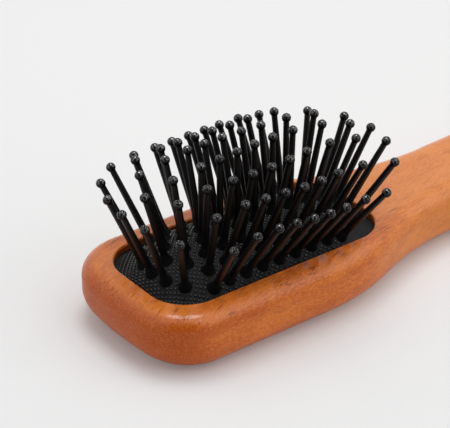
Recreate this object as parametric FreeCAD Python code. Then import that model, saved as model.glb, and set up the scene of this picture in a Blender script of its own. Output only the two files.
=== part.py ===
import FreeCAD, Part

import math
import os

from FreeCAD import Vector

# Wooden paddle brush lying on its back.
# Origin: middle of the head's flat back, under the middle of the cushion pocket.
# +X runs to the butt of the handle, +Z to the pin tips. Millimetres, degrees.

# Wooden body, seen from above
OVERALL_LENGTH = 204.0
POCKET_LENGTH = 69.2
POCKET_WIDTH = 34.0
POCKET_CORNER = 10.3
SIDE_RIM = 7.6
TIP_RIM = 8.0
TIP_BOW_RADIUS = 95.0
HEAD_CORNER = 16.0
SHOULDER_START = 9.5
SHOULDER_RADIUS = 62.0
NECK_RADIUS = 80.0
NECK_WIDTH = 27.0
GRIP_SWELL = 1.2
GRIP_RADIUS = 400.0
BUTT_SIDE_RADIUS = 28.0
BUTT_SIDE_TURN = 35.0

# Wooden body, seen from the side
BODY_THICKNESS = 16.2
BACK_WALL = 5.8
ARCH_RISE = 1.0
ARCH_START = 62.0
ARCH_LEVEL = 14.0
ARCH_END_MARGIN = 2.4
HEAD_CREST_ROUND = 4.4
HANDLE_CREST_ROUND = 5.8
BACK_ROUND = 7.4
TIP_BACK_ROUND = 9.2
POCKET_LIP_ROUND = 0.6
LEAST_FLAT = 0.8

# Rubber cushion
CUSHION_RECESS = 2.0
CROWN_HEIGHT = 7.1
CROWN_LEVEL_LENGTH = 26.5
SKIN = 1.4
BEAD_HEIGHT = 2.2
BEAD_REACH = 1.3
BEAD_LAND = 2.6
CUSHION_CLEARANCE = 0.12
VENT_DIAMETER = 1.2

# Pins
ROWS = 7
MIDDLE_ROW_PINS = 12
OUTER_ROW_PITCH = 5.25
SIDE_MARGIN = 3.5
END_MARGIN = 4.9
END_ARC_RADIUS = 14.5
SECOND_PIN_MARGIN = 9.3
PIN_LENGTH = 22.0
BALL_DIAMETER = 2.5
PIN_ROOT_DIAMETER = 2.0
PIN_NECK_DIAMETER = 1.6
FOOT_DIAMETER = 3.2
FOOT_HEIGHT = 0.8
FOOT_GAP = 0.7
PIN_CLEARANCE = 0.4
TIP_LEAN_SHARE = 0.87
NEAR_SIDE_LEAN = 1.3
PIN_UNEVENNESS = 2.0
SIDE_UNEVEN_STEP = 0.7
END_UNEVEN_STEP = 0.5
BOSS_WALL = 0.4
BOSS_TAPER = 0.2
BOSS_HEIGHT = 2.4

# Sizes that follow from the ones above
POCKET_HALF_LENGTH = POCKET_LENGTH / 2
POCKET_HALF_WIDTH = POCKET_WIDTH / 2
HEAD_HALF_WIDTH = POCKET_HALF_WIDTH + SIDE_RIM
NECK_HALF_WIDTH = NECK_WIDTH / 2
GRIP_HALF_WIDTH = NECK_HALF_WIDTH + GRIP_SWELL
TIP_X = -(POCKET_HALF_LENGTH + TIP_RIM)
BUTT_X = TIP_X + OVERALL_LENGTH
BUTT_TURN = math.radians(BUTT_SIDE_TURN)
BUTT_SIDE_DROP = BUTT_SIDE_RADIUS * (1 - math.cos(BUTT_TURN))
BUTT_NOSE_RADIUS = (GRIP_HALF_WIDTH - BUTT_SIDE_DROP) / math.cos(BUTT_TURN)
BUTT_RUN = BUTT_SIDE_RADIUS * math.sin(BUTT_TURN) + BUTT_NOSE_RADIUS * (1 - math.sin(BUTT_TURN))
BUTT_START_X = BUTT_X - BUTT_RUN
ARCH_BEND_RUN = (BUTT_START_X - ARCH_END_MARGIN - ARCH_START - ARCH_LEVEL) / 2
ARCH_RADIUS = (ARCH_BEND_RUN**2 + ARCH_RISE**2) / (4 * ARCH_RISE)
CREST_ROOM = min(SIDE_RIM, TIP_RIM) - POCKET_LIP_ROUND - LEAST_FLAT
SIDE_ROOM = BODY_THICKNESS - ARCH_RISE - LEAST_FLAT
RIM_Z = BODY_THICKNESS
EDGE_Z = RIM_Z - CUSHION_RECESS
BEAD_Z = EDGE_Z - BEAD_HEIGHT
CROWN_Z = EDGE_Z + CROWN_HEIGHT
CROWN_HALF_LEVEL = CROWN_LEVEL_LENGTH / 2
END_RUN = POCKET_HALF_LENGTH - CROWN_HALF_LEVEL
CROSS_RADIUS = (POCKET_HALF_WIDTH**2 + CROWN_HEIGHT**2) / (2 * CROWN_HEIGHT)
END_RADIUS = (END_RUN**2 + CROWN_HEIGHT**2) / (2 * CROWN_HEIGHT)
MIDDLE_ROW_PITCH = 2 * (POCKET_HALF_LENGTH - SECOND_PIN_MARGIN) / (MIDDLE_ROW_PINS - 3)
END_ARC_X = POCKET_HALF_LENGTH - END_MARGIN - END_ARC_RADIUS
OUTER_ROW_LEAN = math.asin((POCKET_HALF_WIDTH - SIDE_MARGIN) / CROSS_RADIUS)
HOLE_DIAMETER = PIN_ROOT_DIAMETER + 2 * PIN_CLEARANCE
BOSS_TOP_DIAMETER = HOLE_DIAMETER + 2 * (BOSS_WALL - BOSS_TAPER)
BOSS_ROOT_DIAMETER = HOLE_DIAMETER + 2 * BOSS_WALL
GROUPS = ("tip", "middle", "handle")

UP = Vector(0, 0, 1)
QUARTER_TURN = math.pi / 2
OVERSHOOT = 1.0
END_SWEEP = 60.0
SAME = 1e-6


def s_bend_turn(step, first_radius, second_radius):
    """The turn of two opposite arcs that together step sideways by the given amount."""
    return math.acos(1 - step / (first_radius + second_radius))


class OutlinePen:
    """Draws a chain of lines and arcs that run smoothly into each other in the XY plane."""

    def __init__(self, x, y, heading):
        self.point = Vector(x, y, 0)
        self.heading = heading
        self.edges = []

    def _along(self, angle, length):
        return self.point + Vector(math.cos(angle), math.sin(angle), 0) * length

    def line(self, length):
        """A straight run along the heading."""
        end = self._along(self.heading, length)
        self.edges.append(Part.LineSegment(self.point, end).toShape())
        self.point = end

    def line_to_x(self, x):
        """A straight run along the heading as far as x."""
        self.line((x - self.point.x) / math.cos(self.heading))

    def arc(self, radius, turn):
        """An arc that turns the heading: left for a positive turn, right for a negative one."""
        chord = 2 * radius * math.sin(abs(turn) / 2)
        half_chord = 2 * radius * math.sin(abs(turn) / 4)
        middle = self._along(self.heading + turn / 4, half_chord)
        end = self._along(self.heading + turn / 2, chord)
        self.edges.append(Part.Arc(self.point, middle, end).toShape())
        self.point = end
        self.heading += turn

    def mirrored_face(self):
        """The face between the drawn half outline and its mirror image across the X axis."""
        mirrored = [edge.mirror(Vector(), Vector(0, 1, 0)) for edge in self.edges]
        return Part.Face(Part.Wire(Part.__sortEdges__(self.edges + mirrored)))


def pocket_prism(grow, bottom, top):
    """The pocket's round-cornered outline, grown all round, from one height to another."""
    corner = POCKET_CORNER + grow
    pen = OutlinePen(-(POCKET_HALF_LENGTH + grow), 0, QUARTER_TURN)
    pen.line(POCKET_HALF_WIDTH + grow - corner)
    pen.arc(corner, -QUARTER_TURN)
    pen.line_to_x(POCKET_HALF_LENGTH + grow - corner)
    pen.arc(corner, -QUARTER_TURN)
    pen.line(POCKET_HALF_WIDTH + grow - corner)
    face = pen.mirrored_face()
    face.translate(UP * bottom)
    return face.extrude(UP * (top - bottom))


def body_outline():
    """The brush from above: bowed tip, parallel head, S-shaped shoulders, neck, grip and round butt."""
    tip_turn = math.asin((HEAD_HALF_WIDTH - HEAD_CORNER) / (TIP_BOW_RADIUS - HEAD_CORNER))
    shoulder_turn = s_bend_turn(HEAD_HALF_WIDTH - NECK_HALF_WIDTH, SHOULDER_RADIUS, NECK_RADIUS)
    grip_turn = s_bend_turn(GRIP_HALF_WIDTH - NECK_HALF_WIDTH, NECK_RADIUS, GRIP_RADIUS)

    pen = OutlinePen(TIP_X, 0, QUARTER_TURN)
    pen.arc(TIP_BOW_RADIUS, -tip_turn)
    pen.arc(HEAD_CORNER, tip_turn - QUARTER_TURN)
    pen.line_to_x(SHOULDER_START)
    pen.arc(SHOULDER_RADIUS, -shoulder_turn)
    pen.arc(NECK_RADIUS, shoulder_turn + grip_turn)
    pen.arc(GRIP_RADIUS, -grip_turn)
    pen.line_to_x(BUTT_START_X)
    pen.arc(BUTT_SIDE_RADIUS, -BUTT_TURN)
    pen.arc(BUTT_NOSE_RADIUS, BUTT_TURN - QUARTER_TURN)
    return pen.mirrored_face()


def arch_cutter():
    """What is shaved off the back under the handle, so that the grip lifts off the table there."""
    turn = s_bend_turn(ARCH_RISE, ARCH_RADIUS, ARCH_RADIUS)
    pen = OutlinePen(ARCH_START, 0, 0)
    pen.arc(ARCH_RADIUS, turn)
    pen.arc(ARCH_RADIUS, -turn)
    pen.line_to_x(pen.point.x + ARCH_LEVEL)
    pen.arc(ARCH_RADIUS, -turn)
    pen.arc(ARCH_RADIUS, turn)
    pen.line_to_x(ARCH_START)
    face = Part.Face(Part.Wire(pen.edges))
    face.rotate(Vector(), Vector(1, 0, 0), 90)
    face.translate(Vector(0, HEAD_HALF_WIDTH, 0))
    return face.extrude(Vector(0, -2 * HEAD_HALF_WIDTH, 0))


def crest_round(x):
    """The rounding of the top edge: crisp along the head, softer along the handle."""
    blend_end = SHOULDER_START + SHOULDER_RADIUS
    share = min(1, max(0, (x - SHOULDER_START) / (blend_end - SHOULDER_START)))
    head_round = min(HEAD_CREST_ROUND, CREST_ROOM)
    return head_round + (HANDLE_CREST_ROUND - head_round) * share


def back_round(x):
    """The rounding of the back's edge: fuller round the tip than along the sides and the handle."""
    share = min(1, max(0, (x - TIP_X) / HEAD_CORNER))
    tip_round = min(TIP_BACK_ROUND, SIDE_ROOM - min(HEAD_CREST_ROUND, CREST_ROOM))
    side_round = min(BACK_ROUND, SIDE_ROOM - HANDLE_CREST_ROUND)
    return tip_round + (side_round - tip_round) * share


def round_edges(solid, radius_at):
    """Rounds edges with a radius that may change along each one.

    radius_at takes an edge and gives its start and end radius, or None for a sharp edge.
    """
    document = FreeCAD.newDocument("rounding")
    base = document.addObject("Part::Feature", "base")
    base.Shape = solid
    rounding = document.addObject("Part::Fillet", "rounding")
    rounding.Base = base
    rounding.Edges = [
        (number, *radii)
        for number, radii in enumerate(map(radius_at, solid.Edges), 1)
        if radii
    ]
    document.recompute()
    result = rounding.Shape.copy()
    FreeCAD.closeDocument(document.Name)
    return result.Solids[0]


def outer_round(edge):
    """The radii for the outer edges of the body blank: crest, back, or none for upright seams."""
    start, end = edge.Vertexes[0].Point, edge.Vertexes[-1].Point
    across_back = abs(start.x - end.x) < SAME and abs(edge.CenterOfMass.y) < SAME
    if min(start.z, end.z) > RIM_Z - SAME:
        return crest_round(start.x), crest_round(end.x)
    if max(start.z, end.z) < ARCH_RISE + SAME and not across_back:
        return back_round(start.x), back_round(end.x)
    return None


def wooden_body():
    """One piece of beech with a pocket for the cushion and a groove for the cushion's bead."""
    blank = body_outline().extrude(UP * BODY_THICKNESS).cut(arch_cutter()).removeSplitter()
    body = round_edges(blank, outer_round)
    body = body.cut(pocket_prism(0, BACK_WALL, RIM_Z + OVERSHOOT))
    groove = pocket_prism(BEAD_REACH, BEAD_Z - CUSHION_CLEARANCE, EDGE_Z + CUSHION_CLEARANCE)
    body = body.cut(groove)
    lip = [
        edge
        for edge in body.Edges
        if all(abs(vertex.Z - RIM_Z) < SAME for vertex in edge.Vertexes)
        and abs(edge.CenterOfMass.x) < POCKET_HALF_LENGTH + SAME
        and abs(edge.CenterOfMass.y) < POCKET_HALF_WIDTH + SAME
    ]
    return body.makeFillet(POCKET_LIP_ROUND, lip).Solids[0]


def crown(shrink):
    """A loaf: level along the middle, falling away in arcs to both sides and both ends.

    shrink brings the surface in square to itself, for the inside of the skin.
    """
    cross_radius = CROSS_RADIUS - shrink
    top = CROWN_Z - shrink
    axis_z = CROWN_Z - END_RADIUS
    half = POCKET_HALF_WIDTH
    cross_z = CROWN_Z - CROSS_RADIUS
    side_z = cross_z + math.sqrt(cross_radius**2 - half**2)
    floor_z = max(axis_z, cross_z) + OVERSHOOT
    x = -CROWN_HALF_LEVEL
    section_yz = ((-half, side_z), (-half, floor_z), (half, floor_z), (half, side_z))
    corners = [Vector(x, y, z) for y, z in section_yz]
    edges = [Part.LineSegment(a, b).toShape() for a, b in zip(corners, corners[1:])]
    edges.append(Part.Arc(corners[3], Vector(x, 0, top), corners[0]).toShape())
    section = Part.Face(Part.Wire(edges))
    level = section.extrude(Vector(CROWN_LEVEL_LENGTH, 0, 0))
    tip_end = section.revolve(Vector(x, 0, axis_z), Vector(0, 1, 0), -END_SWEEP)
    handle_end = tip_end.mirror(Vector(), Vector(1, 0, 0))
    return level.fuse([tip_end, handle_end]).removeSplitter()


def pin_places():
    """Where each pin leaves the cushion: {row: [(base, axis), ...]}, from the tip end to the handle end.

    The rows are evenly spaced, but their end pins lie on an arc. The pins stand about square to the
    crown, steeper at the tip end, each a little uneven, as pins set in rubber do.
    """
    middle_row = (ROWS - 1) // 2
    places = {}
    number = 0
    for row in range(ROWS):
        count = MIDDLE_ROW_PINS - abs(row - middle_row)
        outward = (row - middle_row) / middle_row
        lean = OUTER_ROW_LEAN * outward
        spacing = MIDDLE_ROW_PITCH + (OUTER_ROW_PITCH - MIDDLE_ROW_PITCH) * outward**2
        ring = END_RADIUS - CROSS_RADIUS * (1 - math.cos(lean))
        y = CROSS_RADIUS * math.sin(lean)
        reach = END_ARC_X + math.sqrt(END_ARC_RADIUS**2 - y**2)
        places[row] = []
        for k in range(count):
            number += 1
            x = (k - (count - 1) / 2) * spacing
            if k in (0, count - 1):
                x = math.copysign(reach, x)
            past = math.copysign(max(0, abs(x) - CROWN_HALF_LEVEL), x)
            pitch = math.asin(past / ring)
            z = CROWN_Z - END_RADIUS + ring * math.cos(pitch)
            base = Vector(x, y, z)
            uneven = math.radians(PIN_UNEVENNESS)
            side_lean = lean - math.radians(NEAR_SIDE_LEAN) + uneven * math.sin(SIDE_UNEVEN_STEP * number)
            share = TIP_LEAN_SHARE if x < 0 else 1
            end_lean = share * pitch + uneven * math.sin(END_UNEVEN_STEP * number)
            axis = Vector(
                math.sin(end_lean) * math.cos(side_lean),
                math.sin(side_lean),
                math.cos(end_lean) * math.cos(side_lean),
            )
            places[row].append((base, axis))
    return places


def stand(shape, base, axis):
    """A copy of a shape made along +Z, stood on base along axis."""
    copy = shape.copy()
    copy.Placement = FreeCAD.Placement(base, FreeCAD.Rotation(UP, axis))
    return copy


def pin():
    """One nylon pin along +Z from the cushion's surface: foot under the skin, tapered shaft, ball tip."""
    root, neck = PIN_ROOT_DIAMETER / 2, PIN_NECK_DIAMETER / 2
    ball, foot = BALL_DIAMETER / 2, FOOT_DIAMETER / 2
    foot_top = -(SKIN + FOOT_GAP)
    foot_bottom = foot_top - FOOT_HEIGHT
    neck_z = PIN_LENGTH - math.sqrt(ball**2 - neck**2)
    profile = [
        Vector(0, 0, foot_bottom),
        Vector(foot, 0, foot_bottom),
        Vector(foot, 0, foot_top),
        Vector(root, 0, foot_top),
        Vector(root, 0, 0),
        Vector(neck, 0, neck_z),
    ]
    crown_point = Vector(0, 0, PIN_LENGTH + ball)
    edges = [Part.LineSegment(a, b).toShape() for a, b in zip(profile, profile[1:])]
    edges.append(Part.Arc(profile[-1], Vector(ball, 0, PIN_LENGTH), crown_point).toShape())
    edges.append(Part.LineSegment(crown_point, profile[0]).toShape())
    return Part.Face(Part.Wire(edges)).revolve(Vector(), UP, 360)


def rubber_cushion(places):
    """The moulded rubber pad: crowned skin, flat border, bead for the groove, a boss and hole per pin."""
    inside = -CUSHION_CLEARANCE
    land = -(CUSHION_CLEARANCE + BEAD_LAND)
    high = CROWN_Z + OVERSHOOT
    outer = pocket_prism(inside, BEAD_Z, high).common(crown(0))
    outer = outer.fuse(pocket_prism(inside, BEAD_Z, EDGE_Z))
    hollow = pocket_prism(land, BEAD_Z - OVERSHOOT, high).common(crown(SKIN))
    hollow = hollow.fuse(pocket_prism(land, BEAD_Z - OVERSHOOT, EDGE_Z - SKIN))
    bead = pocket_prism(BEAD_REACH - CUSHION_CLEARANCE, BEAD_Z, EDGE_Z)
    bead = bead.cut(pocket_prism(land, BEAD_Z - OVERSHOOT, EDGE_Z + OVERSHOOT))

    sunk = SKIN / 2
    boss = Part.makeCone(BOSS_ROOT_DIAMETER / 2, BOSS_TOP_DIAMETER / 2, BOSS_HEIGHT + sunk, UP * -sunk)
    hole_length = 2 * (SKIN + BOSS_HEIGHT)
    hole = Part.makeCylinder(HOLE_DIAMETER / 2, hole_length, UP * (BOSS_HEIGHT + SKIN - hole_length))
    spots = [place for row in places.values() for place in row]
    vent = Part.makeCylinder(VENT_DIAMETER / 2, CROWN_HEIGHT, Vector(0, 0, CROWN_Z - CROWN_HEIGHT / 2))

    pad = outer.cut(hollow).fuse(bead).removeSplitter()
    pad = pad.fuse([stand(boss, *spot) for spot in spots])
    pad = pad.cut([stand(hole, *spot) for spot in spots] + [vent])
    return pad.Solids[0]


def pin_groups(places):
    """The pins of each row in three groups that lean together: {node name: [pin solids]}."""
    one = pin()
    groups = {}
    for row, spots in places.items():
        ends = (len(spots) + 1) // len(GROUPS)
        cuts = (0, ends, len(spots) - ends, len(spots))
        for group, first, last in zip(GROUPS, cuts, cuts[1:]):
            groups[f"pins_row_{row + 1}_{group}"] = [stand(one, *spot) for spot in spots[first:last]]
    return groups


def export(name, shape):
    """Writes one node and prints what it holds."""
    shape.exportStep(os.path.join("parts", name + ".step"))
    print(name, len(shape.Solids), "solids", round(shape.Volume, 1), "mm3", "valid", shape.isValid())


os.makedirs("parts", exist_ok=True)
PLACES = pin_places()
export("wooden_body", wooden_body())
export("rubber_cushion", rubber_cushion(PLACES))
for node, pins in pin_groups(PLACES).items():
    export(node, Part.makeCompound(pins))
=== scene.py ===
"""The looks of a wooden paddle brush: beech body, rubber cushion and ball-tipped nylon pins.

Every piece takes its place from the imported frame. Lengths are in metres, +X runs to the butt
of the handle and +Z to the pin tips.
"""

import logging
import math
from collections.abc import Iterator, Mapping, Sequence
from contextlib import contextmanager
from dataclasses import dataclass, field
from enum import Enum

import bpy
import numpy as np
from mathutils import Matrix, Vector


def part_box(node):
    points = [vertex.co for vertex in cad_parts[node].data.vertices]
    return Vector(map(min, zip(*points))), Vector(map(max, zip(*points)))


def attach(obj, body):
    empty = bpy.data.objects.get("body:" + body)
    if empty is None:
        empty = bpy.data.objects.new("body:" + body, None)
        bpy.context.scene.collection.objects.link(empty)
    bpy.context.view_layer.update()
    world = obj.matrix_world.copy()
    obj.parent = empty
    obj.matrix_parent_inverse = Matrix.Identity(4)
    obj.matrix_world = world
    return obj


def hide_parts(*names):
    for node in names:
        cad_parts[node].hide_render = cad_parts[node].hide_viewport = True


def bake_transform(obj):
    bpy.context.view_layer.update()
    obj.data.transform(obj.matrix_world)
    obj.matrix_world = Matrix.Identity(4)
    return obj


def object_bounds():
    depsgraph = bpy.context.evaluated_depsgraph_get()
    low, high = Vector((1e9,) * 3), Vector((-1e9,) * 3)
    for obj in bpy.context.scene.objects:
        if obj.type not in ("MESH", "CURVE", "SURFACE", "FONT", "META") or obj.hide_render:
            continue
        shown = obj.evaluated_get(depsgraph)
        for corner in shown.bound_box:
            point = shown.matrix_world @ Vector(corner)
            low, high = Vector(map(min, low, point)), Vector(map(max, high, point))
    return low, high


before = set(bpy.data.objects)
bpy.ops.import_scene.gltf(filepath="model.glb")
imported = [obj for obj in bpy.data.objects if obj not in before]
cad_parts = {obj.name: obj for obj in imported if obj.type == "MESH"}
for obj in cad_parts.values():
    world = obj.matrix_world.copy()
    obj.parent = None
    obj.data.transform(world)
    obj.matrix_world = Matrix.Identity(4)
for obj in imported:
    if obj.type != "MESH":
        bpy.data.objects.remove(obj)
CAD_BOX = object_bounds()

LOG = logging.getLogger("paddle_brush")
MM = 0.001
UP = Vector((0, 0, 1))
Colour = tuple[float, float, float]
Cells = tuple[float, float, float]
Span = tuple[float, float]


class Slot(Enum):
    """The record's material slots."""

    WOOD = "stained_beech"
    RUBBER = "black_rubber"
    NYLON = "black_nylon"


class Body(Enum):
    """The CAD bodies that carry more than their own node."""

    WOOD = "wooden_body"
    CUSHION = "cushion"


class Node(Enum):
    """The CAD nodes that are named one by one."""

    WOOD = "wooden_body"
    CUSHION = "rubber_cushion"


class Bench:
    """Everyday modelling moves, as made by hand."""

    @staticmethod
    def clear() -> None:
        """Deselects everything."""
        bpy.ops.object.select_all(action="DESELECT")

    @staticmethod
    def take(*pieces: bpy.types.Object) -> None:
        """Selects some pieces alone and makes the first one active.

        Args:
            *pieces: The objects to select.
        """
        Bench.clear()
        for piece in pieces:
            piece.select_set(True)
        bpy.context.view_layer.objects.active = pieces[0]

    @staticmethod
    @contextmanager
    def editing(piece: bpy.types.Object, select: str = "DESELECT") -> Iterator[None]:
        """Opens a piece in edit mode and closes it again.

        Args:
            piece: The object to edit.
            select: SELECT or DESELECT, for all its parts on opening.
        """
        Bench.take(piece)
        bpy.ops.object.mode_set(mode="EDIT")
        bpy.ops.mesh.select_all(action=select)
        yield
        bpy.ops.object.mode_set(mode="OBJECT")

    @staticmethod
    def named(name: str) -> bpy.types.Object:
        """Names the active object and its mesh.

        Args:
            name: The new name.

        Returns:
            The active object.
        """
        piece = bpy.context.active_object
        piece.name = name
        piece.data.name = name
        return piece

    @staticmethod
    def apply_modifiers(piece: bpy.types.Object) -> None:
        """Applies every modifier of a piece, in order."""
        Bench.take(piece)
        for modifier in list(piece.modifiers):
            bpy.ops.object.modifier_apply(modifier=modifier.name)

    @staticmethod
    def copy_to(model: bpy.types.Object, place: Matrix) -> bpy.types.Object:
        """Copies a model with a mesh of its own, moved in its vertices.

        Args:
            model: What is copied.
            place: Where the copy goes.

        Returns:
            The copy, whose object sits at the origin.
        """
        copy = model.copy()
        copy.data = model.data.copy()
        copy.data.transform(place)
        bpy.context.scene.collection.objects.link(copy)
        return copy

    @staticmethod
    def joined(name: str, pieces: Sequence[bpy.types.Object]) -> bpy.types.Object:
        """Joins pieces into one object.

        Args:
            name: The joined object's name.
            pieces: What is joined.

        Returns:
            The joined object.
        """
        Bench.take(*pieces)
        if len(pieces) > 1:
            bpy.ops.object.join()
        return Bench.named(name)

    @staticmethod
    def smooth(piece: bpy.types.Object, angle_deg: float) -> None:
        """Shades a piece smooth, apart from edges sharper than an angle."""
        Bench.take(piece)
        bpy.ops.object.shade_smooth_by_angle(angle=math.radians(angle_deg))

    @staticmethod
    def cut_away(piece: bpy.types.Object, doomed: np.ndarray) -> None:
        """Deletes some vertices of a piece, with their faces.

        Args:
            piece: The piece.
            doomed: True for each vertex that goes.
        """
        with Bench.editing(piece):
            bpy.ops.mesh.select_mode(type="VERT")
        piece.data.vertices.foreach_set("select", doomed)
        bpy.ops.object.mode_set(mode="EDIT")
        bpy.ops.mesh.delete(type="VERT")
        bpy.ops.object.mode_set(mode="OBJECT")

    @staticmethod
    def discard(piece: bpy.types.Object) -> None:
        """Deletes a piece and its mesh."""
        mesh = piece.data
        bpy.data.objects.remove(piece)
        bpy.data.meshes.remove(mesh)

    @staticmethod
    def turned(name: str, rings: Sequence["Ring"], sides: int) -> bpy.types.Object:
        """Turns a closed round piece about Z: a disc drawn out ring by ring.

        Args:
            name: The piece's name.
            rings: The radius at each height, from the first end to the last.
            sides: The number of sides all round.

        Returns:
            The turned piece.
        """
        first = rings[0]
        Bench.clear()
        bpy.ops.mesh.primitive_circle_add(
            vertices=sides, radius=first.radius, fill_type="NGON", location=(0, 0, first.height)
        )
        piece = Bench.named(name)
        bpy.ops.object.transform_apply(location=True, rotation=False, scale=False)
        with Bench.editing(piece, "SELECT"):
            for below, ring in zip(rings, rings[1:]):
                rise = (0, 0, ring.height - below.height)
                bpy.ops.mesh.extrude_region_move(TRANSFORM_OT_translate={"value": rise})
                ratio = ring.radius / below.radius
                bpy.ops.transform.resize(value=(ratio, ratio, 1), center_override=(0, 0, ring.height))
            bpy.ops.mesh.select_all(action="SELECT")
            bpy.ops.mesh.normals_make_consistent(inside=False)
        return piece


@dataclass(frozen=True)
class Ring:
    """One ring of a turned piece."""

    radius: float
    height: float


class Signal:
    """A number that changes over a surface. Each operator adds a Math node."""

    def __init__(self, graph: "Graph", socket: bpy.types.NodeSocket) -> None:
        """Wraps an output socket of a graph."""
        self.graph = graph
        self.socket = socket

    def _math(self, operation: str, *values: "Signal | float") -> "Signal":
        """Adds a Math node.

        Args:
            operation: The node's operation.
            *values: Its inputs, in order.

        Returns:
            Its result.
        """
        node = self.graph.add("ShaderNodeMath", {"operation": operation}, dict(enumerate(values)))
        return Signal(self.graph, node.outputs[0])

    def __add__(self, other: "Signal | float") -> "Signal":
        """The sum."""
        return self._math("ADD", self, other)

    __radd__ = __add__

    def __sub__(self, other: "Signal | float") -> "Signal":
        """The difference."""
        return self._math("SUBTRACT", self, other)

    def __rsub__(self, other: float) -> "Signal":
        """The difference, from a plain number."""
        return self._math("SUBTRACT", other, self)

    def __mul__(self, other: "Signal | float") -> "Signal":
        """The product."""
        return self._math("MULTIPLY", self, other)

    __rmul__ = __mul__

    def between(self, low: float, high: float) -> "Signal":
        """A smooth 0 to 1 as the value goes from low to high.

        Args:
            low: Where the result is 0.
            high: Where the result is 1.

        Returns:
            The share, held to 0 and 1 outside the two.
        """
        node = self.graph.add(
            "ShaderNodeMapRange",
            {"interpolation_type": "SMOOTHSTEP"},
            {"Value": self, "From Min": low, "From Max": high},
        )
        return Signal(self.graph, node.outputs["Result"])


class Graph:
    """The node tree of a material or of the world."""

    def __init__(self, owner: bpy.types.Material | bpy.types.World) -> None:
        """Empties the owner's node tree."""
        owner.use_nodes = True
        self.owner = owner
        self.tree = owner.node_tree
        self.tree.nodes.clear()
        coordinates = self.add("ShaderNodeTexCoord")
        self.point = coordinates.outputs["Object"]
        self.normal = coordinates.outputs["Normal"]
        self.outward = coordinates.outputs["Generated"]

    @classmethod
    def of_material(cls, name: str) -> "Graph":
        """Starts a new material."""
        return cls(bpy.data.materials.new(name))

    def add(
        self,
        kind: str,
        settings: Mapping[str, object] | None = None,
        sockets: Mapping[str | int, object] | None = None,
    ) -> bpy.types.Node:
        """Adds a node.

        Args:
            kind: The node's type.
            settings: Its properties, set first.
            sockets: A value, signal or output socket for each input, by name or number.

        Returns:
            The node.
        """
        node = self.tree.nodes.new(kind)
        for key, value in (settings or {}).items():
            setattr(node, key, value)
        for key, value in (sockets or {}).items():
            socket = node.inputs[key]
            if isinstance(value, Signal):
                value = value.socket
            if isinstance(value, bpy.types.NodeSocket):
                self.tree.links.new(value, socket)
            elif socket.type == "RGBA" and len(value) == 3:
                socket.default_value = (*value, 1)
            else:
                socket.default_value = value
        return node

    def swayed(self, per_metre: float, reach: Sequence[float]) -> bpy.types.NodeSocket:
        """Object coordinates that wander, so that a grain drawn on them isn't straight.

        Args:
            per_metre: The bends to a metre.
            reach: How far the noise moves a point along X, Y and Z, in metres.

        Returns:
            The coordinates.
        """
        bends = {"Vector": self.point, "Scale": per_metre, "Detail": 1}
        drift = self.add("ShaderNodeTexNoise", None, bends)
        centred = self.add(
            "ShaderNodeVectorMath",
            {"operation": "SUBTRACT"},
            {0: drift.outputs["Color"], 1: (0.5, 0.5, 0.5)},
        )
        moved = self.add(
            "ShaderNodeVectorMath",
            {"operation": "MULTIPLY_ADD"},
            {0: centred.outputs["Vector"], 1: tuple(reach), 2: self.point},
        )
        return moved.outputs["Vector"]

    def stretched(
        self,
        scale: Sequence[float],
        turn_deg: Sequence[float] = (0, 0, 0),
        place: bpy.types.NodeSocket | None = None,
    ) -> bpy.types.NodeSocket:
        """Coordinates, turned and stretched.

        Args:
            scale: Cells per metre along X, Y and Z.
            turn_deg: The turn about X, Y and Z, in degrees.
            place: What is stretched. Object coordinates, if it isn't given.

        Returns:
            The coordinates.
        """
        turn = tuple(map(math.radians, turn_deg))
        cell = tuple(1 / count for count in scale)
        node = self.add(
            "ShaderNodeMapping",
            {"vector_type": "TEXTURE"},
            {"Vector": place or self.point, "Rotation": turn, "Scale": cell},
        )
        return node.outputs["Vector"]

    def noise(self, place: bpy.types.NodeSocket, detail: float = 2, roughness: float = 0.5) -> Signal:
        """Soft noise from 0 to 1.

        Args:
            place: The coordinates, one cell to a unit.
            detail: How many finer layers are added.
            roughness: How strong they are.

        Returns:
            The noise.
        """
        layers = {"Vector": place, "Scale": 1, "Detail": detail, "Roughness": roughness}
        node = self.add("ShaderNodeTexNoise", None, layers)
        return Signal(self, node.outputs["Fac"])

    def flecks(self, place: bpy.types.NodeSocket, size: float, share: float) -> Signal:
        """Scattered flecks, one to a cell at most.

        Args:
            place: The coordinates, one cell to a unit.
            size: A fleck's radius, in cells.
            share: The share of cells that hold one.

        Returns:
            1 in a fleck's heart, 0 outside it.
        """
        core, soft_pick = 0.35, 0.1
        node = self.add("ShaderNodeTexVoronoi", {"feature": "F1"}, {"Vector": place, "Scale": 1})
        heart = Signal(self, node.outputs["Distance"]).between(size, size * core)
        pick = self.add("ShaderNodeSeparateColor", None, {"Color": node.outputs["Color"]})
        return heart * Signal(self, pick.outputs["Red"]).between(1 - share, 1 - share + soft_pick)

    def part(self, vector: bpy.types.NodeSocket, axis: str) -> Signal:
        """One part of a vector.

        Args:
            vector: The vector's socket.
            axis: X, Y or Z.

        Returns:
            The part along that axis.
        """
        node = self.add("ShaderNodeSeparateXYZ", None, {"Vector": vector})
        return Signal(self, node.outputs[axis])

    def facing(self, direction: Vector) -> Signal:
        """How close a point of the world's backdrop lies to a direction.

        Args:
            direction: A unit direction.

        Returns:
            The cosine of the angle between the two.
        """
        node = self.add(
            "ShaderNodeVectorMath",
            {"operation": "DOT_PRODUCT"},
            {0: self.outward, 1: tuple(direction)},
        )
        return Signal(self, node.outputs["Value"])

    def mix(self, share: Signal, first: object, second: object) -> bpy.types.NodeSocket:
        """Mixes two colours.

        Args:
            share: How much of the second colour shows.
            first: A colour or a colour socket.
            second: A colour or a colour socket.

        Returns:
            The mixed colour.
        """
        node = self.add("ShaderNodeMix", {"data_type": "RGBA"}, {0: share, 6: first, 7: second})
        return node.outputs[2]

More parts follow.
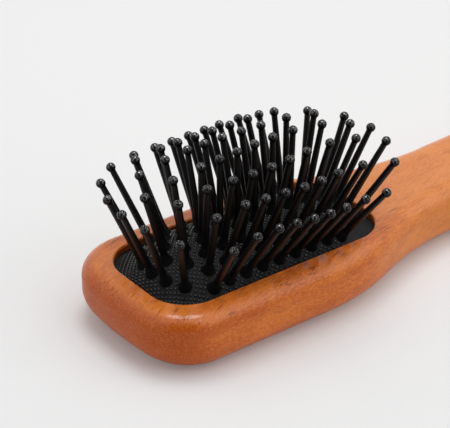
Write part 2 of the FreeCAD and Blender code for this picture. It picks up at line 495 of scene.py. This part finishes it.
    def bump(self, height: Signal, depth: float) -> bpy.types.NodeSocket:
        """A normal that follows a height.

        Args:
            height: The height, from 0 to 1.
            depth: How deep a height of 1 is, in metres.

        Returns:
            The normal.
        """
        node = self.add("ShaderNodeBump", None, {"Height": height, "Distance": depth, "Strength": 1.0})
        return node.outputs["Normal"]

    def surface(self, sockets: Mapping[str, object]) -> bpy.types.Material:
        """Closes the graph with its shader.

        Args:
            sockets: The shader's inputs.

        Returns:
            The finished material.
        """
        shader = self.add("ShaderNodeBsdfPrincipled", None, sockets)
        self.add("ShaderNodeOutputMaterial", None, {"Surface": shader.outputs["BSDF"]})
        return self.owner


@dataclass(frozen=True)
class BeechFinish:
    """Stained beech under gloss lacquer, with a wandering grain along X."""

    light: Colour = (0.76, 0.205, 0.025)
    deep: Colour = (0.53, 0.099, 0.006)
    pale: Colour = (0.79, 0.272, 0.058)
    end: Colour = (0.42, 0.063, 0.003)
    fleck: Colour = (0.19, 0.032, 0.003)
    ray: Colour = (0.40, 0.070, 0.006)
    glimmer: Colour = (0.84, 0.340, 0.105)
    bends_per_metre: float = 24
    sway: float = 10 * MM
    slope_deg: float = 17
    streak_cells: Cells = (10, 170, 170)
    mottle_cells: Cells = (75, 150, 150)
    fibre_cells: Cells = (420, 2500, 2500)
    pore_cells: Cells = (110, 2000, 2000)
    dash_cells: Cells = (480, 3200, 3200)
    ray_cells: Cells = (120, 420, 320)
    glint_cells: Cells = (800, 2400, 1300)
    vessel_cells: Cells = (900, 2700, 2700)
    base_tone: float = 0.155
    streak_tone: float = 0.32
    mottle_tone: float = 0.37
    fibre_tone: float = 0.40
    gloss: float = 0.15
    lacquer_roughness: float = 0.17
    pore_depth: float = 0.04 * MM
    tone_span: Span = (0.36, 0.64)
    pore_span: Span = (0.28, 0.52)
    vessel_span: Span = (0.46, 0.66)
    top_facing: Span = (0.25, 0.80)
    tip_facing: Span = (-0.10, -0.75)
    butt_facing: Span = (0.25, 0.95)
    # Where the painted shade on the sides and painted light on the tops fade in towards the tip.
    front_shade_reach: Span = (-2 * MM, -30 * MM)
    pale_reach: Span = (12 * MM, 55 * MM)
    butt_reach: Span = (130 * MM, 150 * MM)

    def material(self) -> bpy.types.Material:
        """Builds the material."""
        graph = Graph.of_material("stained_beech_lacquer")
        grain = graph.swayed(self.bends_per_metre, (0, self.sway, self.sway))
        slope = (0, 0, self.slope_deg)
        streaks = graph.noise(graph.stretched(self.streak_cells, place=grain), detail=3, roughness=0.6)
        mottle = graph.noise(graph.stretched(self.mottle_cells, place=grain), detail=3, roughness=0.55)
        fibre = graph.noise(graph.stretched(self.fibre_cells, slope, grain), detail=2, roughness=0.6)
        pores = graph.flecks(graph.stretched(self.pore_cells, slope, grain), size=0.46, share=0.46)
        dashes = graph.flecks(graph.stretched(self.dash_cells, slope, grain), size=0.38, share=0.40)
        rays = graph.flecks(graph.stretched(self.ray_cells, place=grain), size=0.42, share=0.25)
        glints = graph.flecks(graph.stretched(self.glint_cells, slope, grain), size=0.42, share=0.45)
        vessels = graph.noise(graph.stretched(self.vessel_cells), detail=1).between(*self.vessel_span)
        along = graph.part(graph.point, "X")
        front = along.between(*self.front_shade_reach)
        handle = along.between(*self.pale_reach)
        ahead = graph.part(graph.normal, "X")
        upward = graph.part(graph.normal, "Z").between(*self.top_facing)
        butt = ahead.between(*self.butt_facing) * along.between(*self.butt_reach)
        end_grain = ahead.between(*self.tip_facing) + butt

        grain_tone = self.base_tone + streaks * self.streak_tone + mottle * self.mottle_tone
        grain_tone = grain_tone + (fibre - 0.5) * self.fibre_tone
        # Painted shade and light: towards the tip, faces that don't face up are painted darker and the
        # top faces are painted lighter.
        tone = (grain_tone + front * (0.07 - upward * 0.13)).between(*self.tone_span)
        colour = graph.mix(tone, self.light, self.deep)
        colour = graph.mix(handle * (0.8 - tone * 0.3), colour, self.pale)
        colour = graph.mix(end_grain * (0.6 + fibre * 0.4), colour, self.end)
        colour = graph.mix(end_grain * vessels * 0.34, colour, self.light)
        colour = graph.mix(glints * (0.36 - end_grain * 0.14), colour, self.glimmer)
        colour = graph.mix(rays * (0.10 + fibre * 0.4), colour, self.ray)
        open_pores = pores * mottle.between(*self.pore_span)
        open_pores = open_pores * (0.25 + upward * 0.55) * (1 - handle * 0.7)
        colour = graph.mix(open_pores, colour, self.fleck)
        colour = graph.mix(dashes * (0.35 - handle * 0.15), colour, self.fleck)
        relief = 1 - open_pores * 0.6 - dashes * 0.3 + fibre * 0.25
        return graph.surface({
            "Base Color": colour,
            "Roughness": 0.40 + fibre * 0.10 + open_pores * 0.12,
            "Specular IOR Level": self.gloss,
            "Coat Weight": 0.30 + upward * 0.60 - open_pores * 0.3 - end_grain * 0.1,
            "Coat Roughness": self.lacquer_roughness,
            "Normal": graph.bump(relief, self.pore_depth),
        })


@dataclass(frozen=True)
class RubberFinish:
    """Moulded black rubber, with a fine grain and a faint bloom."""

    name: str
    dark: Colour = (0.0020, 0.0020, 0.0028)
    pale: Colour = (0.0130, 0.0128, 0.0165)
    roughness: float = 0.60
    gloss: float = 0.22
    grain_cells: Cells = (1700, 1700, 1700)
    grain_depth: float = 0.04 * MM
    grain_span: Span = (0.35, 0.65)
    bloom_cells: Cells = (90, 90, 90)
    bloom_span: Span = (0.35, 0.70)
    bloom_share: float = 0.3

    def material(self) -> bpy.types.Material:
        """Builds the material."""
        graph = Graph.of_material(self.name)
        grain = graph.noise(graph.stretched(self.grain_cells), detail=3, roughness=0.6)
        bloom = graph.noise(graph.stretched(self.bloom_cells), detail=3).between(*self.bloom_span)
        paleness = bloom * self.bloom_share + grain.between(*self.grain_span) * (1 - self.bloom_share)
        return graph.surface({
            "Base Color": graph.mix(paleness, self.dark, self.pale),
            "Roughness": self.roughness + bloom * 0.08 + grain * 0.06,
            "Specular IOR Level": self.gloss,
            "Normal": graph.bump(grain, self.grain_depth),
        })


@dataclass(frozen=True)
class NylonFinish:
    """Smooth moulded black nylon. A sparkle adds a patchy clear coat to its upper side."""

    name: str
    dark: Colour = (0.0022, 0.0019, 0.0018)
    pale: Colour = (0.0050, 0.0044, 0.0042)
    roughness: float = 0.26
    gloss: float = 0.20
    flow_cells: Cells = (700, 700, 160)
    scuff_cells: Cells = (3000, 3000, 3000)
    scuff_depth: float = 0.01 * MM
    sparkle: float = 0.0
    sparkle_span: Span = (0.44, 0.60)
    sparkle_facing: Span = (-0.1, 0.7)
    coat_ior: float = 2.45
    coat_roughness: float = 0.05

    def material(self) -> bpy.types.Material:
        """Builds the material."""
        graph = Graph.of_material(self.name)
        flow = graph.noise(graph.stretched(self.flow_cells), detail=3, roughness=0.6)
        scuffs = graph.noise(graph.stretched(self.scuff_cells), detail=2)
        sockets = {
            "Base Color": graph.mix(flow, self.dark, self.pale),
            "Roughness": self.roughness + flow * 0.10 + scuffs * 0.08,
            "Specular IOR Level": self.gloss,
            "Normal": graph.bump(flow * 0.6 + scuffs * 0.4, self.scuff_depth),
        }
        if self.sparkle > 0:
            upward = graph.part(graph.normal, "Z").between(*self.sparkle_facing)
            sockets["Coat Weight"] = scuffs.between(*self.sparkle_span) * upward * self.sparkle
            sockets["Coat IOR"] = self.coat_ior
            sockets["Coat Roughness"] = self.coat_roughness
        return graph.surface(sockets)


@dataclass(frozen=True)
class FloorFinish:
    """A plain pale floor that keeps the shadow, softened for the camera by a share of flat white."""

    colour: Colour = (0.86, 0.86, 0.86)
    roughness: float = 0.9
    white: float = 0.86
    white_share: float = 0.13

    def material(self) -> bpy.types.Material:
        """Builds the material."""
        graph = Graph.of_material("pale_floor")
        paint = {"Base Color": self.colour, "Roughness": self.roughness, "Specular IOR Level": 0.0}
        matt = graph.add("ShaderNodeBsdfPrincipled", None, paint)
        flat = graph.add("ShaderNodeEmission", None, {"Strength": self.white})
        path = graph.add("ShaderNodeLightPath")
        straight = Signal(graph, path.outputs["Is Camera Ray"])
        mirrored = Signal(graph, path.outputs["Is Glossy Ray"])
        seen = straight + mirrored
        layers = {0: seen * self.white_share, 1: matt.outputs["BSDF"], 2: flat.outputs["Emission"]}
        mixed = graph.add("ShaderNodeMixShader", None, layers)
        graph.add("ShaderNodeOutputMaterial", None, {"Surface": mixed.outputs["Shader"]})
        return graph.owner


@dataclass(frozen=True)
class PinPlace:
    """Where one pin leaves the rubber, and which way it points."""

    base: Vector
    axis: Vector

    def matrix(self, roll: float) -> Matrix:
        """The place of a piece modelled along Z.

        Args:
            roll: The turn about the pin's own axis.

        Returns:
            The piece's matrix.
        """
        lean = UP.rotation_difference(self.axis)
        return Matrix.Translation(self.base) @ lean.to_matrix().to_4x4() @ Matrix.Rotation(roll, 4, "Z")


@dataclass
class PinField:
    """The nylon pins and the rubber boss round the foot of each, in the groups that lean together."""

    length: float = 22.0 * MM
    ball_radius: float = 1.25 * MM
    root_radius: float = 1.0 * MM
    neck_radius: float = 0.8 * MM
    foot_radius: float = 1.6 * MM
    foot_height: float = 0.8 * MM
    foot_drop: float = 2.9 * MM
    dimple_radius: float = 0.36 * MM
    dimple_depth: float = 0.28 * MM
    seam: float = 0.05 * MM
    sides: int = 16
    ball_rings: int = 8
    boss_height: float = 2.6 * MM
    boss_flare: float = 1.80 * MM
    boss_root: float = 1.34 * MM
    boss_top: float = 1.06 * MM
    boss_sink: float = 0.7 * MM
    weld: float = 0.001 * MM
    foot_slice: float = 0.3
    foot_digits: int = 7
    fillet_share: float = 0.5
    waist: float = 0.02
    pin_smooth_deg: float = 50
    boss_smooth_deg: float = 60
    prefix: str = "pins_"
    groups: dict[str, list[PinPlace]] = field(default_factory=dict)

    def read(self) -> None:
        """Finds each pin's place in the CAD nodes."""
        for name, node in sorted(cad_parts.items()):
            if name.startswith(self.prefix):
                self.groups[name] = [self._place(points) for points in self._solids(node.data)]

    def _solids(self, mesh: bpy.types.Mesh) -> list[np.ndarray]:
        """Splits a mesh into its loose solids.

        Args:
            mesh: A CAD node's mesh.

        Returns:
            The points of each solid.
        """
        points = np.array([vertex.co for vertex in mesh.vertices])
        merged, owner = np.unique(np.round(points / self.weld), axis=0, return_inverse=True)
        owner = owner.ravel()
        label = np.arange(len(merged))
        edges = owner[np.array([edge.vertices for edge in mesh.edges])]
        changed = True
        while changed:
            lowest = np.minimum(label[edges[:, 0]], label[edges[:, 1]])
            before = label.copy()
            np.minimum.at(label, edges[:, 0], lowest)
            np.minimum.at(label, edges[:, 1], lowest)
            label = label[label]
            changed = not np.array_equal(before, label)
        return [points[label[owner] == one] for one in np.unique(label)]

    def _place(self, points: np.ndarray) -> PinPlace:
        """Finds one pin's base and axis from its points.

        Args:
            points: The pin's points.

        Returns:
            Its place.
        """
        middle = points.mean(axis=0)
        rough = np.linalg.svd(points - middle, full_matrices=False)[2][0]
        rough = rough if rough[2] > 0 else -rough
        along = (points - middle) @ rough
        pole = points[along.argmax()]
        lowest = points[along < along.min() + self.foot_slice * self.foot_height]
        foot = np.unique(np.round(lowest, self.foot_digits), axis=0).mean(axis=0)
        axis = Vector(pole - foot).normalized()
        return PinPlace(Vector(pole) - axis * (self.length + self.ball_radius), axis)

    def places(self) -> list[PinPlace]:
        """Every pin's place."""
        return [place for group in self.groups.values() for place in group]

    def _pin(self, shaft: bpy.types.Material, tip: bpy.types.Material) -> bpy.types.Object:
        """Models one pin along Z: foot, tapered shaft with a mould seam, ball with a dimple on top.

        Args:
            shaft: The finish below the ball.
            tip: The ball's finish.

        Returns:
            The pin.
        """
        foot_top = -self.foot_drop + self.foot_height
        rings = [
            Ring(self.foot_radius, -self.foot_drop),
            Ring(self.foot_radius, foot_top),
            Ring(self.root_radius, foot_top),
            Ring(self.root_radius, 0),
        ]
        neck_turn = math.acos(self.neck_radius / self.ball_radius)
        neck_height = self.length - self.ball_radius * math.sin(neck_turn)
        fillet = self.fillet_share * self.neck_radius
        rings.append(Ring(self.neck_radius * (1 - self.waist), neck_height - fillet))
        rings.append(Ring(self.neck_radius * (1 + self.waist), neck_height))
        last_turn = math.acos(self.dimple_radius / self.ball_radius)
        for step in range(1, self.ball_rings + 1):
            turn = -neck_turn + (last_turn + neck_turn) * step / self.ball_rings
            height = self.length + self.ball_radius * math.sin(turn)
            rings.append(Ring(self.ball_radius * math.cos(turn), height))
        # The dimple falls from the last ring of the ball.
        rim = rings[-1]
        rings.append(Ring(rim.radius * 0.75, rim.height - self.dimple_depth * 0.7))
        rings.append(Ring(rim.radius * 0.25, rim.height - self.dimple_depth))
        pin = Bench.turned("pin", rings, self.sides)
        for vertex in pin.data.vertices:
            on_shaft = self.boss_height < vertex.co.z < neck_height - fillet * 0.5
            if on_shaft and abs(vertex.co.x) < 0.1 * self.neck_radius:
                vertex.co.y += math.copysign(self.seam, vertex.co.y)
        pin.data.materials.append(shaft)
        pin.data.materials.append(tip)
        for face in pin.data.polygons:
            face.material_index = int(face.center.z > neck_height)
        Bench.smooth(pin, self.pin_smooth_deg)
        return pin

    def _boss(self, rubber: bpy.types.Material) -> bpy.types.Object:
        """Models one boss along Z: a cone that flares into the skin and closes on the pin.

        Args:
            rubber: Its finish.

        Returns:
            The boss.
        """
        height = self.boss_height
        # From under the skin upwards: the flare, the root, a slight waist and the lip round the pin.
        rings = [
            Ring(self.boss_flare * 1.04, -self.boss_sink),
            Ring(self.boss_flare, 0.0),
            Ring((self.boss_flare + self.boss_root) / 2, 0.16 * height),
            Ring(self.boss_root, 0.40 * height),
            Ring((self.boss_root + self.boss_top) / 2 - 0.03 * MM, 0.70 * height),
            Ring(self.boss_top, height),
            Ring(self.root_radius * 0.9, 1.02 * height),
        ]
        boss = Bench.turned("boss", rings, self.sides)
        boss.data.materials.append(rubber)
        Bench.smooth(boss, self.boss_smooth_deg)
        return boss

    def build(
        self, shaft: bpy.types.Material, tip: bpy.types.Material, rubber: bpy.types.Material
    ) -> None:
        """Makes the pins and bosses of every group.

        Args:
            shaft: The pins' finish.
            tip: The finish of their balls.
            rubber: The bosses' finish.
        """
        pin, boss = self._pin(shaft, tip), self._boss(rubber)
        number = 0
        golden_turn = math.pi * (3 - math.sqrt(5))
        for node, places in self.groups.items():
            matrices = []
            for place in places:
                number += 1
                matrices.append(place.matrix(golden_turn * number))
            row = node.removeprefix(self.prefix)
            pin_copies = [Bench.copy_to(pin, matrix) for matrix in matrices]
            pins = Bench.joined(f"nylon_pins_{row}", pin_copies)
            boss_copies = [Bench.copy_to(boss, matrix) for matrix in matrices]
            bosses = Bench.joined(f"pin_bosses_{row}", boss_copies)
            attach(pins, node)
            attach(bosses, node)
            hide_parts(node)
            LOG.info("%s: %d pins", pins.name, len(places))
        Bench.discard(pin)
        Bench.discard(boss)


@dataclass
class RubberCushion:
    """The moulded cushion: a crowned skin with a dot grain, and the bead that fits the groove."""

    bead_reach: float = 1.3 * MM
    bead_height: float = 2.2 * MM
    bead_land: float = 0.2 * MM
    corner: float = 10.2 * MM
    crown_height: float = 7.1 * MM
    level_length: float = 26.5 * MM
    skin: float = 1.4 * MM
    border_depth: float = 4.0 * MM
    border_rise: float = 5.0 * MM
    soft_edge: float = 0.35 * MM
    cells_along: int = 96
    cells_across: int = 48
    corner_steps: int = 12
    vent_radius: float = 0.6 * MM
    vent_sides: int = 20
    dot_pitch: float = 1.12 * MM
    dot_radius: float = 0.42 * MM
    dot_height: float = 0.42 * MM
    dot_sink: float = 0.12 * MM
    dot_sides: int = 7
    dot_margin: float = 0.9 * MM
    plain_from: float = 22.0 * MM
    slope_step: float = 0.1 * MM
    smooth_deg: float = 55
    fill: float = 0.9

    def __post_init__(self) -> None:
        """Works out the skin's place from the CAD node."""
        low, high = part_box(Node.CUSHION.value)
        self.half_length = high.x - self.bead_reach
        self.half_width = high.y - self.bead_reach
        self.edge_z = low.z + self.bead_height
        run = self.half_length - self.level_length / 2
        self.cross_radius = self._arc_radius(self.half_width)
        self.end_radius = self._arc_radius(run)
        self.half_girth = self.cross_radius * math.asin(self.half_width / self.cross_radius)
        self.half_span = self.level_length / 2 + self.end_radius * math.asin(run / self.end_radius)

    def _arc_radius(self, run: float) -> float:
        """The radius of an arc that falls by the crown's height over a run."""
        return (run**2 + self.crown_height**2) / (2 * self.crown_height)

    def height(self, x: float, y: float) -> float:
        """The skin's height over a point of the plan.

        Args:
            x: The place along the brush.
            y: The place across it.

        Returns:
            The height of the outer surface.
        """
        past = max(0.0, abs(x) - self.level_length / 2)
        ring = self.end_radius - self.cross_radius + math.sqrt(max(0.0, self.cross_radius**2 - y**2))
        fall = self.end_radius - math.sqrt(max(0.0, ring**2 - past**2))
        rise = self.crown_height - fall
        return self.edge_z + (rise + math.hypot(rise, self.soft_edge)) / 2

    def _rounded(self, x: float, y: float) -> tuple[float, float]:
        """Draws a point of the plain rectangle in, so that the rectangle's corners turn round.

        Args:
            x: The place along the rectangle.
            y: The place across it.

        Returns:
            The point's new place.
        """
        along = (abs(x) - self.half_length) / self.corner + 1
        across = (abs(y) - self.half_width) / self.corner + 1
        if along <= 0 or across <= 0:
            return x, y
        drawn_x = along * math.sqrt(1 - across**2 / 2) - 1
        drawn_y = across * math.sqrt(1 - along**2 / 2) - 1
        return (
            math.copysign(self.half_length + drawn_x * self.corner, x),
            math.copysign(self.half_width + drawn_y * self.corner, y),
        )

    def _inside(self, x: float, y: float) -> float:
        """How far a point of the plan lies inside the skin's outline."""
        along = abs(x) - (self.half_length - self.corner)
        across = abs(y) - (self.half_width - self.corner)
        outside = math.hypot(max(along, 0), max(across, 0)) + min(max(along, across), 0)
        return self.corner - outside

    def _roof(self, top: float) -> float:
        """The height of the air chamber's roof: thick rubber at the border, a thin skin at the crown.

        Args:
            top: The height of the outer surface.

        Returns:
            The height of the inner surface under it.
        """
        crown = self.edge_z + self.crown_height
        shoulder = self.edge_z + self.border_rise
        border = self.edge_z - self.border_depth
        share = max(0.0, (top - shoulder) / (crown - shoulder))
        return border + share * (crown - self.skin - border)

    def _skin(self) -> bpy.types.Object:
        """Models the skin: a grid, rounded at the corners, crowned, thickened downwards and vented."""
        Bench.clear()
        bpy.ops.mesh.primitive_grid_add(
            x_subdivisions=self.cells_along, y_subdivisions=self.cells_across, size=2
        )
        skin = Bench.named("skin")
        for vertex in skin.data.vertices:
            x, y = self._rounded(vertex.co.x * self.half_length, vertex.co.y * self.half_width)
            vertex.co = (x, y, self.height(x, y))
        with Bench.editing(skin, "SELECT"):
            bpy.ops.mesh.extrude_region_move()
        # The extruded copy is what stays selected: it becomes the air chamber's roof.
        for vertex in skin.data.vertices:
            if vertex.select:
                vertex.co.z = self._roof(vertex.co.z)
        with Bench.editing(skin, "SELECT"):
            bpy.ops.mesh.normals_make_consistent(inside=False)
        Bench.clear()
        bpy.ops.mesh.primitive_cylinder_add(
            vertices=self.vent_sides,
            radius=self.vent_radius,
            depth=4 * self.skin,
            location=(0, 0, self.height(0, 0)),
        )
        drill = Bench.named("drill")
        vent = skin.modifiers.new("vent", "BOOLEAN")
        vent.operation = "DIFFERENCE"
        vent.object = drill
        Bench.apply_modifiers(skin)
        Bench.discard(drill)
        return skin

    def _bead(self) -> bpy.types.Object:
        """Models the bead: a round-cornered ring that fills the groove."""
        Bench.clear()
        bpy.ops.mesh.primitive_plane_add(size=2, location=(0, 0, self.edge_z))
        bead = Bench.named("bead")
        bead.scale = (self.half_length + self.bead_reach, self.half_width + self.bead_reach, 1)
        bpy.ops.object.transform_apply(location=True, rotation=False, scale=True)
        with Bench.editing(bead, "SELECT"):
            bpy.ops.mesh.bevel(
                offset=self.corner + self.bead_reach, segments=self.corner_steps, affect="VERTICES"
            )
            bpy.ops.mesh.inset(thickness=self.bead_reach + self.bead_land)
            bpy.ops.mesh.delete(type="FACE")
            bpy.ops.mesh.select_all(action="SELECT")
            drop = (0, 0, -self.bead_height)
            bpy.ops.mesh.extrude_region_move(TRANSFORM_OT_translate={"value": drop})
            bpy.ops.mesh.select_all(action="SELECT")
            bpy.ops.mesh.normals_make_consistent(inside=False)
        return bead

    def _dots(self, pins: PinField) -> bpy.types.Object:
        """Models the dot grain: one dome repeated in a staggered lattice and wrapped over the crown.

        Args:
            pins: The pins, whose bosses the dots keep clear of.

        Returns:
            The dots.
        """
        # A low dome: it starts under the skin, narrows at the shoulder and ends in a small flat top.
        dome = Bench.turned("dots", [
            Ring(self.dot_radius, -self.dot_sink),
            Ring(0.80 * self.dot_radius, 0.55 * self.dot_height),
            Ring(0.30 * self.dot_radius, self.dot_height),
        ], self.dot_sides)
        size = len(dome.data.vertices)
        step = self.dot_pitch * math.sqrt(2)
        rows = int(2 * self.half_girth / step) + 1
        columns = int(2 * self.half_span / step) + 1
        stagger = Bench.copy_to(dome, Matrix.Translation((step / 2, step / 2, 0)))
        dots = Bench.joined("dots", [dome, stagger])
        for count, offset in ((columns, (step, 0, 0)), (rows, (0, step, 0))):
            lattice = dots.modifiers.new("lattice", "ARRAY")
            lattice.count = count
            lattice.use_relative_offset = False
            lattice.use_constant_offset = True
            lattice.constant_offset_displace = offset
        Bench.apply_modifiers(dots)

        shift = Vector((-(columns - 0.5) * step / 2, -(rows - 0.5) * step / 2, 0))
        dots.data.transform(Matrix.Translation(shift))
        clear = [(place.base.x, place.base.y) for place in pins.places()]
        keep_off = pins.boss_flare + 0.5 * self.dot_radius
        points = np.array([vertex.co for vertex in dots.data.vertices]).reshape(-1, size, 3)
        flat = [Vector((*dot.mean(axis=0)[:2], 0)) for dot in points]
        wrapped = [self._wrapped(centre.x, centre.y) for centre in flat]
        kept = np.array([self._holds_dot(x, y, clear, keep_off) for x, y in wrapped])
        for number, vertex in enumerate(dots.data.vertices):
            dot = number // size
            if kept[dot]:
                vertex.co = self._laid(*wrapped[dot], vertex.co - flat[dot])
        Bench.cut_away(dots, np.repeat(~kept, size))
        LOG.info("dot grain: %d dots", kept.sum())
        return dots

    def _holds_dot(
        self, x: float, y: float, clear: Sequence[tuple[float, float]], keep_off: float
    ) -> bool:
        """Whether the grain has a dot at a point of the plan.

        Args:
            x: The place along the brush.
            y: The place across it.
            clear: The pins' places in the plan.
            keep_off: How far a dot stays from a pin's axis.

        Returns:
            True inside the outline, off the plain end and clear of the bosses.
        """
        if x > self.plain_from or self._inside(x, y) < self.dot_margin:
            return False
        return all(math.hypot(x - pin_x, y - pin_y) > keep_off for pin_x, pin_y in clear)

    def _wrapped(self, along: float, across: float) -> tuple[float, float]:
        """Wraps a point of the flat lattice over the crown's arcs.

        Args:
            along: The distance along the skin from its middle.
            across: The distance across it.

        Returns:
            The point's place in the plan.
        """
        level = self.level_length / 2
        past = max(0.0, abs(along) - level)
        x = min(abs(along), level) + self.end_radius * math.sin(past / self.end_radius)
        return math.copysign(x, along), self.cross_radius * math.sin(across / self.cross_radius)

    def _laid(self, x: float, y: float, offset: Vector) -> Vector:
        """Lays a dot's vertex on the crown.

        Args:
            x: The dot's place along the brush.
            y: The dot's place across it.
            offset: The vertex's place over the dot's middle.

        Returns:
            The vertex's place over the crown, square to it.
        """
        step = self.slope_step
        slope_x = (self.height(x + step, y) - self.height(x - step, y)) / (2 * step)
        slope_y = (self.height(x, y + step) - self.height(x, y - step)) / (2 * step)
        normal = Vector((-slope_x, -slope_y, 1)).normalized()
        lean = UP.rotation_difference(normal)
        return Vector((x, y, self.height(x, y))) + lean @ offset

    def build(self, pins: PinField, matt: bpy.types.Material, polished: bpy.types.Material) -> None:
        """Makes the cushion.

        Args:
            pins: The pins that stand in it.
            matt: The skin's finish.
            polished: The finish of the raised dots.
        """
        skin, bead, dots = self._skin(), self._bead(), self._dots(pins)
        for piece, finish in ((skin, matt), (bead, matt), (dots, polished)):
            piece.data.materials.append(finish)
        cushion = Bench.joined("cushion_pad", [skin, bead, dots])
        Bench.smooth(cushion, self.smooth_deg)
        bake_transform(cushion)
        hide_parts(Node.CUSHION.value)
        LOG.info("%s: %d faces", cushion.name, len(cushion.data.polygons))


@dataclass
class WoodenBody:
    """The beech body, whose CAD shape stays."""

    node: Node = Node.WOOD

    def build(self, finish: bpy.types.Material) -> None:
        """Dresses the body.

        Args:
            finish: The lacquered beech.
        """
        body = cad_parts[self.node.value]
        for slot in body.material_slots:
            slot.material = finish
        LOG.info("%s: %d faces", body.name, len(body.data.polygons))


@dataclass(frozen=True)
class SoftLamp:
    """One large soft lamp that points at the brush."""

    name: str
    azimuth_deg: float
    elevation_deg: float
    size: float
    watts: float
    distance: float = 0.9

    def hang(self, target: Vector) -> None:
        """Hangs the lamp.

        Args:
            target: The point that it lights.
        """
        back = Studio.direction(self.azimuth_deg, self.elevation_deg)
        lamp = bpy.data.lights.new(self.name, "AREA")
        lamp.shape = "DISK"
        lamp.size = self.size
        lamp.energy = self.watts
        holder = bpy.data.objects.new(self.name, lamp)
        holder.location = target + back * self.distance
        holder.rotation_euler = back.to_track_quat("Z", "Y").to_euler()
        bpy.context.scene.collection.objects.link(holder)


@dataclass
class Studio:
    """The pale floor, the walls, the lamps and the camera."""

    azimuth_deg: float = -37.3
    elevation_deg: float = 30.4
    distance: float = 526.7 * MM
    target: tuple[float, float, float] = (3.62 * MM, 13.74 * MM, 16.2 * MM)
    lens: float = 160.0
    sensor: float = 36.0
    clip_start: float = 10 * MM
    floor_size: float = 6.0
    far_azimuth_deg: float = 142.7
    far_wall: float = 0.80
    near_wall: float = 0.94
    wall_blend: float = 0.7
    seen_wall: float = 0.86
    unlit: float = 0.04
    unlit_from_deg: float = 36.0
    unlit_to_deg: float = 22.0
    lamps: tuple[SoftLamp, ...] = (
        SoftLamp("overhead_softbox", azimuth_deg=150, elevation_deg=78, size=0.45, watts=2.5),
        SoftLamp("side_fill", azimuth_deg=45, elevation_deg=52, size=1.60, watts=3.5, distance=1.2),
    )

    @staticmethod
    def direction(azimuth_deg: float, elevation_deg: float) -> Vector:
        """The direction from the object towards a viewer or lamp.

        Args:
            azimuth_deg: 0 is in front, on the -Y side, and 90 on the +X side.
            elevation_deg: The angle above the floor.

        Returns:
            The unit direction.
        """
        turn, rise = math.radians(azimuth_deg), math.radians(elevation_deg)
        return Vector((
            math.sin(turn) * math.cos(rise),
            -math.cos(turn) * math.cos(rise),
            math.sin(rise),
        ))

    def _camera(self) -> None:
        """Sets the camera at the photograph's place."""
        lens = bpy.data.cameras.new("camera")
        lens.lens = self.lens
        lens.sensor_width = self.sensor
        lens.clip_start = self.clip_start
        camera = bpy.data.objects.new("camera", lens)
        back = self.direction(self.azimuth_deg, self.elevation_deg)
        camera.location = Vector(self.target) + back * self.distance
        camera.rotation_euler = (-back).to_track_quat("-Z", "Y").to_euler()
        bpy.context.scene.collection.objects.link(camera)
        bpy.context.scene.camera = camera

    def _walls(self) -> None:
        """Sets white walls all round, a little dimmer on the far side, and dark round the camera."""
        world = bpy.data.worlds.new("studio")
        bpy.context.scene.world = world
        graph = Graph(world)
        far_side = self.direction(self.far_azimuth_deg, 0)
        far_share = graph.facing(far_side).between(-self.wall_blend, self.wall_blend)
        lit = self.near_wall + far_share * (self.far_wall - self.near_wall)
        lens_side = self.direction(self.azimuth_deg, self.elevation_deg)
        opening = graph.facing(lens_side).between(
            math.cos(math.radians(self.unlit_from_deg)), math.cos(math.radians(self.unlit_to_deg))
        )
        lit = lit - opening * (lit - self.unlit)
        seen = Signal(graph, graph.add("ShaderNodeLightPath").outputs["Is Camera Ray"])
        strength = lit + seen * (self.seen_wall - lit)
        sky = graph.add("ShaderNodeBackground", None, {"Strength": strength})
        graph.add("ShaderNodeOutputWorld", None, {"Surface": sky.outputs["Background"]})

    def _floor(self, finish: bpy.types.Material) -> None:
        """Lays the floor under the brush."""
        Bench.clear()
        bpy.ops.mesh.primitive_plane_add(size=self.floor_size, location=(0, 0, CAD_BOX[0].z))
        floor = Bench.named("floor")
        floor.data.materials.append(finish)

    def build(self, floor: bpy.types.Material) -> None:
        """Sets the stage.

        Args:
            floor: The floor's finish.
        """
        bpy.context.scene.view_settings.view_transform = "Standard"
        self._walls()
        self._floor(floor)
        for lamp in self.lamps:
            lamp.hang(Vector(self.target))
        self._camera()


def main() -> None:
    """Builds and dresses the brush, then sets the stage."""
    logging.basicConfig(level=logging.INFO, format="%(name)s: %(message)s")
    for leftover in ("Cube", "Light", "Camera"):
        if leftover in bpy.data.objects:
            bpy.data.objects.remove(bpy.data.objects[leftover])
    pins = PinField()
    pins.read()
    WoodenBody().build(BeechFinish().material())
    skin = RubberFinish("black_rubber_skin", gloss=0.30, grain_depth=0.10 * MM)
    dots = RubberFinish("black_rubber_dots", roughness=0.12, gloss=1.0, grain_depth=0.01 * MM)
    RubberCushion().build(pins, skin.material(), dots.material())
    # The bosses are the same rubber as the skin; their darker, duller colour is painted shade at the
    # pins' feet.
    boss = RubberFinish(
        "black_rubber_boss_painted_shade",
        dark=(0.002, 0.002, 0.0022),
        pale=(0.005, 0.005, 0.0055),
        gloss=0.15,
    )
    tip = NylonFinish(
        "black_nylon_tips",
        dark=(0.003, 0.003, 0.0035),
        pale=(0.006, 0.006, 0.007),
        roughness=0.1,
        gloss=0.12,
        scuff_depth=0.03 * MM,
        sparkle=1.0,
    )
    pins.build(NylonFinish("black_nylon_shafts").material(), tip.material(), boss.material())
    Studio().build(FloorFinish().material())


if __name__ == "__main__":
    main()
